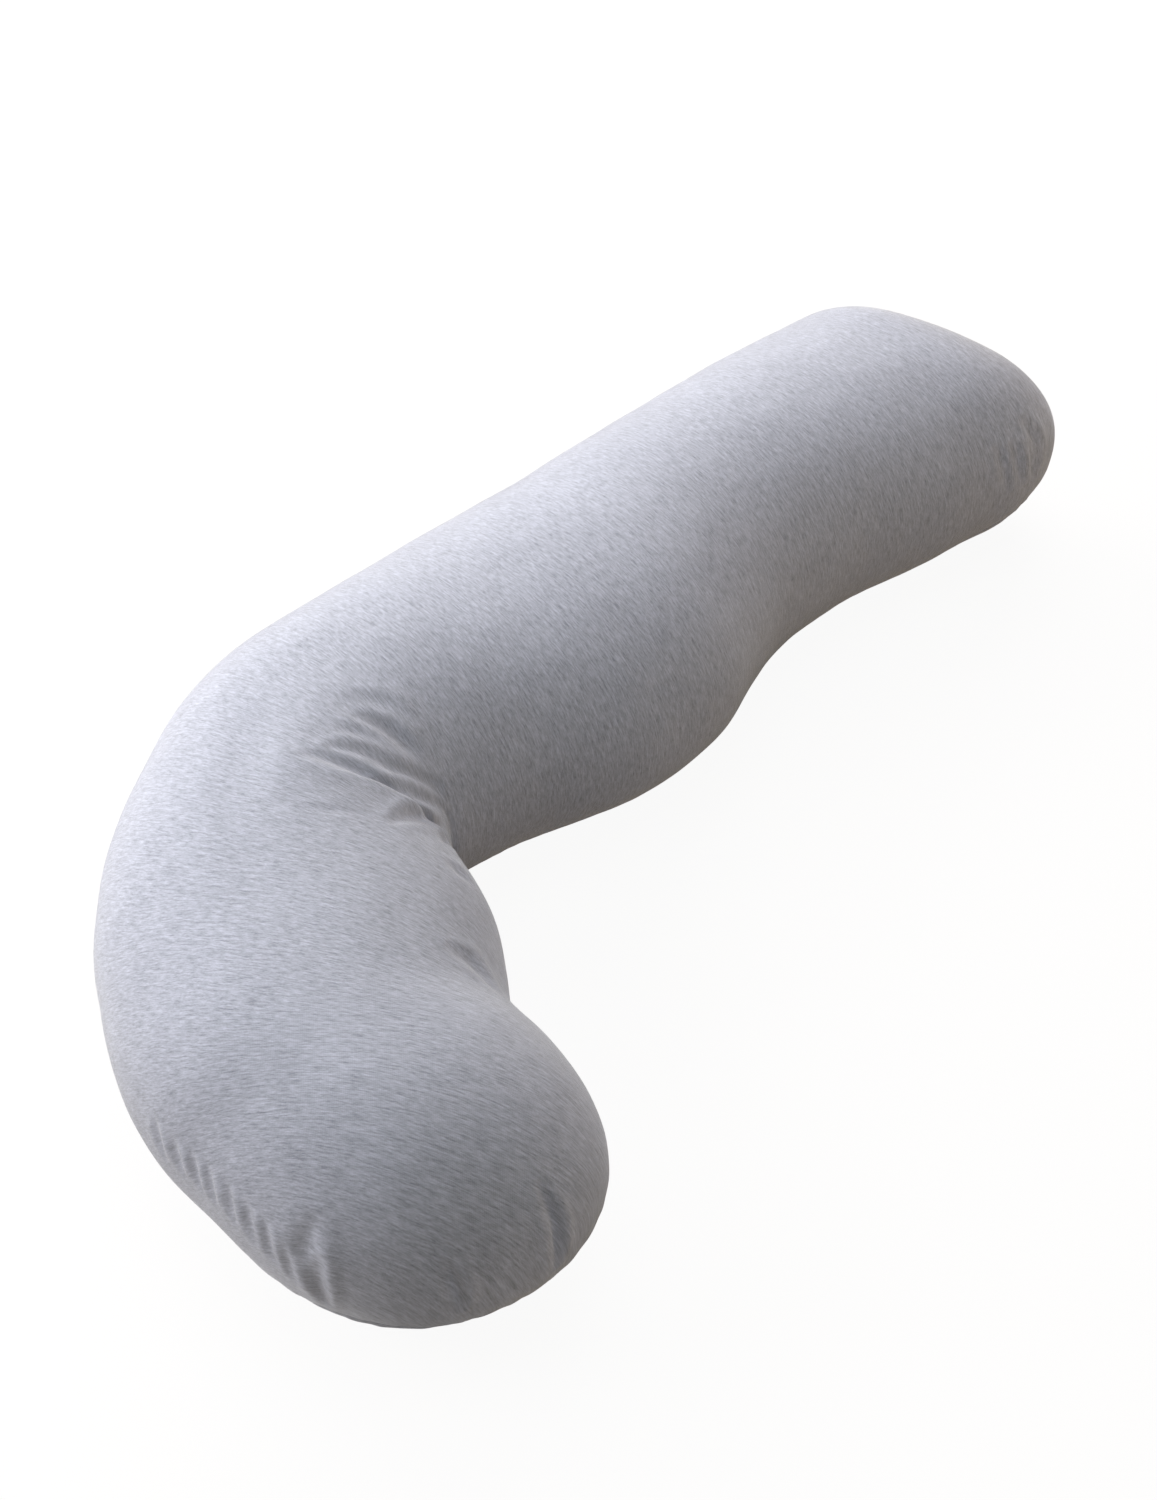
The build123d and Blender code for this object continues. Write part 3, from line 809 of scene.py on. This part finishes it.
def coil(name, node, phase):
    """One side of the zip: a flattened spiral whose loops reach past the middle between the other's."""
    low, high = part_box(node)
    inner_side = ZIP_HEIGHT + COIL_REACH if high.z < ZIP_HEIGHT else ZIP_HEIGHT - COIL_REACH
    outer_side = low.z + COIL_RADIUS if high.z < ZIP_HEIGHT else high.z - COIL_RADIUS
    middle, half = (inner_side + outer_side) / 2, (inner_side - outer_side) / 2
    count = round((high.x - low.x) / COIL_PITCH)
    turn = np.linspace(0, 2 * math.pi * count, count * COIL_STEPS + 1)
    x = low.x + COIL_PITCH * (turn / (2 * math.pi) + phase)
    depth = (high.y - low.y) / 2 - COIL_RADIUS
    y = (low.y + high.y) / 2 + depth * np.sin(turn)
    z = middle + half * np.sign(np.cos(turn)) * np.abs(np.cos(turn)) ** COIL_FLATNESS
    path = np.column_stack([x, y, z])[x < high.x - COIL_RADIUS]
    obj = swept(name, [path], COIL_RADIUS, COIL_SIDES, (1.0, 0.0, 0.0))
    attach(obj, "long_arm")
    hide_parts(node)
    return obj


def build_topstitch(panels, side):
    """A lockstitch beside the zip: each stitch rises out of the cloth and goes back in."""
    grid, normals = panels[side]
    low, high = ELBOW[0] - ZIP_HIGH.x - STITCH_MARGIN, ELBOW[0] - ZIP_LOW.x + STITCH_MARGIN
    along_zip = (places > low) & (places < high)
    line, up = grid[along_zip, STITCH_COLUMN], normals[along_zip, STITCH_COLUMN]
    run = run_along(line)
    share = np.linspace(0, 1, STITCH_STEPS)
    rise = THREAD_RADIUS * (STITCH_RISE * np.sin(math.pi * share) ** 0.5 - STITCH_SINK)
    paths = []
    for start in np.arange(0, run[-1] - STITCH_LENGTH, STITCH_LENGTH + STITCH_SPACE):
        where = start + STITCH_LENGTH * share
        paths.append(read_line(where, run, line) + unit(read_line(where, run, up)) * rise[:, None])
    name = f"zip_topstitch_{side}"
    obj = swept(name, paths, THREAD_RADIUS, STITCH_SIDES, (0.0, 0.02, 1.0))
    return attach(obj, "long_arm")


def build_label(panels):
    """A blank ribbon that hangs from the seam over the bottom panel, and curls up at its free end."""
    low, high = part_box("care_label")
    grid, normals = panels["bottom"]
    x = ELBOW[0] - places
    rows = (x > low.x - LABEL_MARGIN) & (x < high.x + LABEL_MARGIN)
    grid, normals = grid[rows], normals[rows]
    down = np.linalg.norm(grid[:, :LABEL_COLUMNS] - grid[:, :1], axis=2).mean(0)
    share = np.linspace(0, 1, LABEL_STEPS)
    reach = np.searchsorted(down, LABEL_LENGTH * share)
    lift = LABEL_RISE * smooth_step(share, 0.0, 0.15) + LABEL_CURL * share**2
    ripple = LABEL_RIPPLE * np.sin(np.linspace(0, 5, len(grid)))[:, None] * share
    points = grid[:, reach] + normals[:, reach] * (lift + ripple)[..., None]
    points[:, :, 0] = np.linspace(high.x, low.x, len(grid))[:, None]
    faces = grid_faces(*points.shape[:2])
    label = mesh_object("care_label_blank", points.reshape(-1, 3), faces)
    thicken(label, RIBBON_THICKNESS, 1)
    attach(label, "long_arm")
    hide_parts("care_label")
    return label


# ---- Materials ----


class Shader:
    """A procedural material in the making: its methods add nodes and give back their outputs."""

    def __init__(self, name, **sockets):
        self.material = bpy.data.materials.new(name)
        self.material.use_nodes = True
        self.tree = self.material.node_tree
        self.surface = self.tree.nodes["Principled BSDF"]
        for socket, value in sockets.items():
            self.surface.inputs[socket.replace("_", " ")].default_value = value

    def node(self, kind, links=(), **settings):
        node = self.tree.nodes.new(kind)
        for name, value in settings.items():
            setattr(node, name, value)
        for socket, value in dict(links).items():
            if isinstance(value, bpy.types.NodeSocket):
                self.tree.links.new(value, node.inputs[socket])
            else:
                node.inputs[socket].default_value = value
        return node

    def cloth_place(self):
        return self.node("ShaderNodeAttribute", attribute_name="fabric").outputs["Vector"]

    def object_place(self):
        return self.node("ShaderNodeTexCoord").outputs["Object"]

    def scaled(self, vector, scale):
        return self.node("ShaderNodeVectorMath", {0: vector, 1: scale}, operation="MULTIPLY").outputs[0]

    def noise(self, vector, scale=(1, 1, 1), detail=2.0, roughness=0.5):
        links = {"Vector": self.scaled(vector, scale), "Scale": 1.0, "Detail": detail, "Roughness": roughness}
        return self.node("ShaderNodeTexNoise", links).outputs["Fac"]

    def axis(self, vector, axis):
        return self.node("ShaderNodeSeparateXYZ", {0: vector}).outputs[axis]

    def math(self, operation, *values):
        return self.node("ShaderNodeMath", enumerate(values), operation=operation).outputs[0]

    def ramp(self, factor, *stops):
        node = self.node("ShaderNodeValToRGB", {"Fac": factor})
        elements = node.color_ramp.elements
        while len(elements) < len(stops):
            elements.new(0.5)
        for element, (position, colour) in zip(elements, stops):
            element.position = position
            element.color = (*colour, 1)
        return node.outputs["Color"]

    def colour(self, value):
        self.tree.links.new(value, self.surface.inputs["Base Color"])

    def rough(self, value, low, high):
        ranged = self.node("ShaderNodeMapRange", {"Value": value, "To Min": low, "To Max": high})
        self.tree.links.new(ranged.outputs[0], self.surface.inputs["Roughness"])

    def bump(self, height, distance, strength=1.0):
        links = {"Height": height, "Distance": distance, "Strength": strength}
        before = self.surface.inputs["Normal"].links
        if before:
            links["Normal"] = before[0].from_socket
        self.tree.links.new(self.node("ShaderNodeBump", links).outputs[0], self.surface.inputs["Normal"])


def knit_material():
    """Melange jersey: short flecks of pale and dark yarn along the courses, over fine knit loops."""
    knit = Shader("heather_jersey", Roughness=0.86, Sheen_Weight=0.75, Sheen_Roughness=0.4)
    cloth = knit.cloth_place()
    flecks = knit.noise(cloth, (850, 120, 850), 3.0, 0.6)
    streaks = knit.noise(cloth, (420, 42, 420), 2.0)
    grains = knit.noise(cloth, (1500, 420, 1500), 1.0)
    clouds = knit.noise(cloth, (11, 11, 11), 3.0)
    tone = knit.math("MULTIPLY_ADD", flecks, 0.50, knit.math("MULTIPLY", streaks, 0.26))
    tone = knit.math("MULTIPLY_ADD", grains, 0.16, tone)
    tone = knit.math("MULTIPLY_ADD", clouds, 0.08, tone)
    knit.colour(knit.ramp(tone, *KNIT_TONES))
    column = knit.math("MULTIPLY", knit.axis(cloth, 1), 1 / WALE_PITCH)
    within = knit.math("ABSOLUTE", knit.math("SUBTRACT", knit.math("FRACT", column), 0.5))
    course = knit.math("MULTIPLY_ADD", knit.axis(cloth, 0), 1 / COURSE_PITCH, within)
    loop = knit.math("SINE", knit.math("MULTIPLY", course, 2 * math.pi))
    rib = knit.math("COSINE", knit.math("MULTIPLY", within, math.pi))
    knit.bump(knit.math("MULTIPLY_ADD", loop, 0.35, rib), KNIT_DEPTH, 0.35)
    knit.bump(flecks, 0.0006, 0.35)
    knit.rough(flecks, 0.78, 0.92)
    return knit.material


def woven_material(name, place, pitch, dark, light, depth, **sockets):
    """Plain weave: threads that pass over and under each other, laid by cloth or by object coordinates."""
    weave = Shader(name, **sockets)
    vector = weave.cloth_place() if place == "cloth" else weave.object_place()
    warp = weave.math("SINE", weave.math("MULTIPLY", weave.axis(vector, 0), 2 * math.pi / pitch))
    cross = 1 if place == "cloth" else 2
    weft = weave.math("SINE", weave.math("MULTIPLY", weave.axis(vector, cross), 2 * math.pi / pitch))
    threads = weave.math("MULTIPLY_ADD", weave.math("MULTIPLY", warp, weft), 0.35, 0.5)
    slubs = weave.noise(vector, (900, 900, 900), 2.0)
    tone = weave.math("MULTIPLY_ADD", slubs, 0.5, weave.math("MULTIPLY", threads, 0.5))
    weave.colour(weave.ramp(tone, (0.25, dark), (0.75, light)))
    weave.bump(threads, depth, 0.6)
    weave.rough(slubs, 0.6, 0.85)
    return weave.material


def fibre_material():
    """Loose hollow fibre: fine tangled strands."""
    fibre = Shader("hollow_fibre", Roughness=0.9, Sheen_Weight=0.4)
    place = fibre.object_place()
    strands = fibre.noise(place, (140, 900, 500), 4.0, 0.7)
    clumps = fibre.noise(place, (60, 60, 60), 3.0)
    mixed = fibre.math("MULTIPLY_ADD", strands, 0.6, fibre.math("MULTIPLY", clumps, 0.4))
    fibre.colour(fibre.ramp(mixed, (0.3, (0.72, 0.72, 0.70)), (0.7, (0.93, 0.93, 0.92))))
    fibre.bump(mixed, 0.003, 0.8)
    return fibre.material


def nylon_material():
    """Nylon with slight drifts of tone along its loops."""
    nylon = Shader("nylon_coil", Roughness=0.38, Subsurface_Weight=0.15, Coat_Weight=0.1)
    place = nylon.object_place()
    drift = nylon.noise(place, (300, 2500, 2500), 2.0)
    nylon.colour(nylon.ramp(drift, (0.3, (0.36, 0.37, 0.40)), (0.7, (0.50, 0.51, 0.55))))
    nylon.rough(drift, 0.30, 0.48)
    nylon.bump(drift, 0.0001, 0.4)
    return nylon.material


def metal_material():
    """Satin enamelled zinc, worn a little brighter in specks."""
    metal = Shader("enamelled_zinc", Metallic=0.85, Roughness=0.35, Coat_Weight=0.25, Coat_Roughness=0.2)
    place = metal.object_place()
    grain = metal.noise(place, (2600, 2600, 2600), 3.0)
    worn = metal.noise(place, (420, 420, 420), 3.0, 0.65)
    tones = (0.35, (0.34, 0.35, 0.38)), (0.62, (0.48, 0.49, 0.52)), (0.72, (0.66, 0.67, 0.69))
    metal.colour(metal.ramp(worn, *tones))
    metal.rough(worn, 0.28, 0.46)
    metal.bump(grain, 0.00006, 0.5)
    return metal.material


def paint(objects, material):
    for obj in objects:
        obj.data.materials.clear()
        obj.data.materials.append(material)


# ---- Camera, light and floor ----


def direction(azimuth, elevation):
    """Unit vector at an azimuth from +X towards +Y and an elevation, in degrees."""
    a, e = math.radians(azimuth), math.radians(elevation)
    return Vector((math.cos(a) * math.cos(e), math.sin(a) * math.cos(e), math.sin(e)))


def set_camera(scene):
    """The camera, where the photograph was taken from."""
    camera = bpy.data.objects.new("camera", bpy.data.cameras.new("camera"))
    scene.collection.objects.link(camera)
    back = direction(CAMERA_AZIMUTH, CAMERA_ELEVATION)
    camera.location = Vector(CAMERA_TARGET) + back * CAMERA_DISTANCE
    camera.rotation_euler = back.to_track_quat("Z", "Y").to_euler()
    camera.data.lens = CAMERA_LENS
    scene.camera = camera


def set_lights(scene):
    for name, azimuth, elevation, size, energy, colour in LIGHTS:
        lamp = bpy.data.objects.new(name, bpy.data.lights.new(name, "AREA"))
        scene.collection.objects.link(lamp)
        back = direction(azimuth, elevation)
        lamp.location = back * LIGHT_DISTANCE
        lamp.rotation_euler = back.to_track_quat("Z", "Y").to_euler()
        lamp.data.energy, lamp.data.size, lamp.data.color = energy, size, colour


def floor_material():
    """A plain pale floor, whose own light and shade the camera sees only in part."""
    pale = Shader("pale_floor", Roughness=0.9, Specular_IOR_Level=0.1)
    pale.surface.inputs["Base Color"].default_value = (*FLOOR_COLOUR, 1)
    seen = pale.node("ShaderNodeLightPath").outputs["Is Camera Ray"]
    distance = pale.node("ShaderNodeVectorMath", {0: pale.object_place()}, operation="LENGTH")
    fade = {"From Min": SHADE_NEAR, "From Max": SHADE_FAR, "To Min": 1 - FLOOR_SHADE, "To Max": 1.0}
    unlit = pale.node("ShaderNodeMapRange", {"Value": distance.outputs["Value"], **fade}).outputs[0]
    glow = pale.node("ShaderNodeEmission", {"Color": (*BACKDROP, 1), "Strength": FLOOR_GLOW}).outputs[0]
    sides = {0: pale.math("MULTIPLY", seen, unlit), 1: pale.surface.outputs[0], 2: glow}
    shown = pale.node("ShaderNodeMixShader", sides).outputs[0]
    pale.tree.links.new(shown, pale.tree.nodes["Material Output"].inputs["Surface"])
    return pale.material


def lay_floor(scene):
    points = [(*(FLOOR_RADIUS * direction(turn, 0)).xy, FLOOR_HEIGHT) for turn in range(0, 360, 10)]
    mesh = bpy.data.meshes.new("floor")
    mesh.from_pydata(points, [], [list(range(len(points)))])
    floor = bpy.data.objects.new("floor", mesh)
    scene.collection.objects.link(floor)
    mesh.materials.append(floor_material())


def set_world(scene):
    """Even light from all round, and a white backdrop where the camera sees past the floor."""
    world = bpy.data.worlds.new("studio")
    scene.world = world
    world.use_nodes = True
    tree = world.node_tree
    ambient = tree.nodes["Background"]
    ambient.inputs["Color"].default_value = (*WORLD_COLOUR, 1)
    ambient.inputs["Strength"].default_value = WORLD_STRENGTH
    backdrop = tree.nodes.new("ShaderNodeBackground")
    backdrop.inputs["Color"].default_value = (*BACKDROP, 1)
    mixed = tree.nodes.new("ShaderNodeMixShader")
    seen = tree.nodes.new("ShaderNodeLightPath").outputs["Is Camera Ray"]
    for source, socket in zip((seen, ambient.outputs[0], backdrop.outputs[0]), mixed.inputs):
        tree.links.new(source, socket)
    tree.links.new(mixed.outputs[0], tree.nodes["World Output"].inputs["Surface"])


# ---- The pillow ----

moves = settled_moves()
panels, covers = {}, []
for side in SIDES:
    grid, normals, fabric = cover_panel(side, moves)
    panels[side] = (grid, normals)
    covers.append(build_cover(side, grid, normals, fabric))
casings = [build_casing(panels, side) for side in SIDES]
fill = build_filling(panels)
coils = [coil("zip_teeth_upper", "zip_coil_upper", 0.0), coil("zip_teeth_lower", "zip_coil_lower", 0.5)]
stitches = [build_topstitch(panels, side) for side in SIDES]
label = build_label(panels)

paint(covers + stitches, knit_material())
paint(casings, woven_material(
    "casing_cotton", "cloth", 0.0011, (0.78, 0.77, 0.74), (0.90, 0.89, 0.87), 0.0002, Roughness=0.8,
))
paint([fill], fibre_material())
paint([nodes["zip_tape_upper"], nodes["zip_tape_lower"]], woven_material(
    "zip_tape_weave", "object", 0.0009, (0.30, 0.31, 0.34), (0.47, 0.48, 0.52), 0.0002,
    Roughness=0.75, Sheen_Weight=0.15,
))
paint(coils, nylon_material())
metal_nodes = ("zip_slider", "zip_pull_tab", "zip_bottom_stop", "zip_top_stops")
paint([nodes[name] for name in metal_nodes], metal_material())
paint([label], woven_material(
    "satin_ribbon", "object", 0.0006, (0.80, 0.80, 0.80), (0.95, 0.95, 0.95), 0.0001,
    Roughness=0.45, Sheen_Weight=0.3,
))

# ---- The studio ----

scene = bpy.context.scene
set_camera(scene)
set_lights(scene)
lay_floor(scene)
set_world(scene)
scene.view_settings.view_transform = "Standard"
